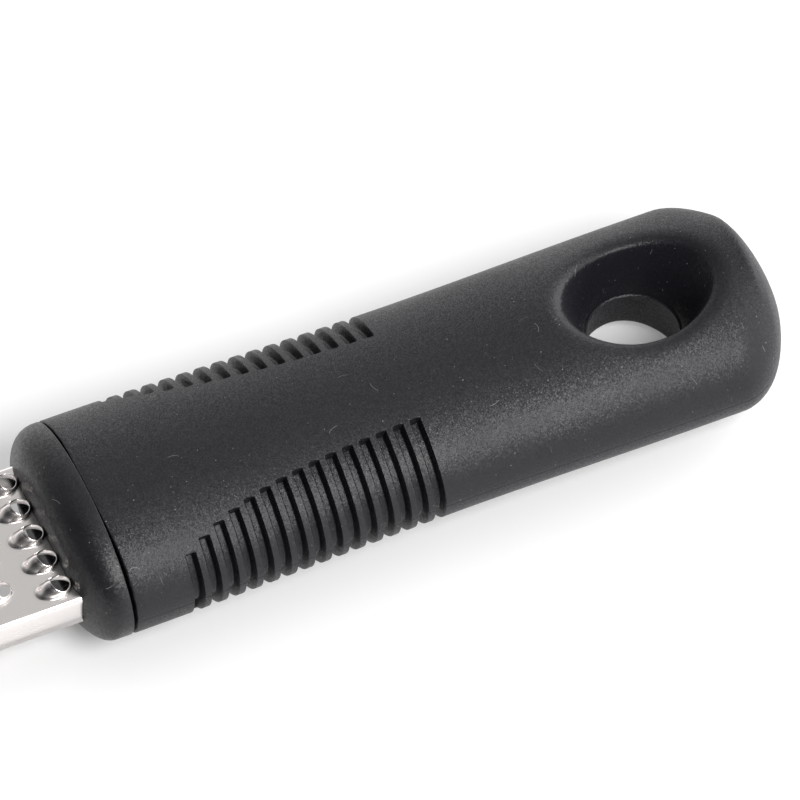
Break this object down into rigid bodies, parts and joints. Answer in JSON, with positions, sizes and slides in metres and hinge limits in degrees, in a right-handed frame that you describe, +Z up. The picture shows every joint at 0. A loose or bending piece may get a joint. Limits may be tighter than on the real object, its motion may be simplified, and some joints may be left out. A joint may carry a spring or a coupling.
{
  "type": "cheese grater",
  "caption": "Hand-held cheese grater: flat stainless blade with punched teeth, front collar, and a soft grooved grip with a hanging hole.",
  "frame": {"origin": "on the resting surface, under the middle of the tool's overall length", "axes": "+X from the blade's tip to the handle's butt, +Z up out of the toothed face, Y across the blade"},
  "size_m": [0.2444, 0.0356, 0.0223],
  "materials": {
    "stainless_steel": "rolled stainless sheet, lightly polished",
    "collar_plastic": "moulded, fine matte black",
    "core_plastic": "moulded, plain black",
    "pin_steel": "drawn steel wire, plain",
    "soft_grip": "moulded soft-touch elastomer, fine matte grain"
  },
  "bodies": {
    "root": {"grater_blade": "stainless_steel", "front_collar": "collar_plastic", "handle_core": "core_plastic", "tang_pin_front": "pin_steel", "tang_pin_rear": "pin_steel", "grip_sleeve": "soft_grip"}
  },
  "joints": []
}
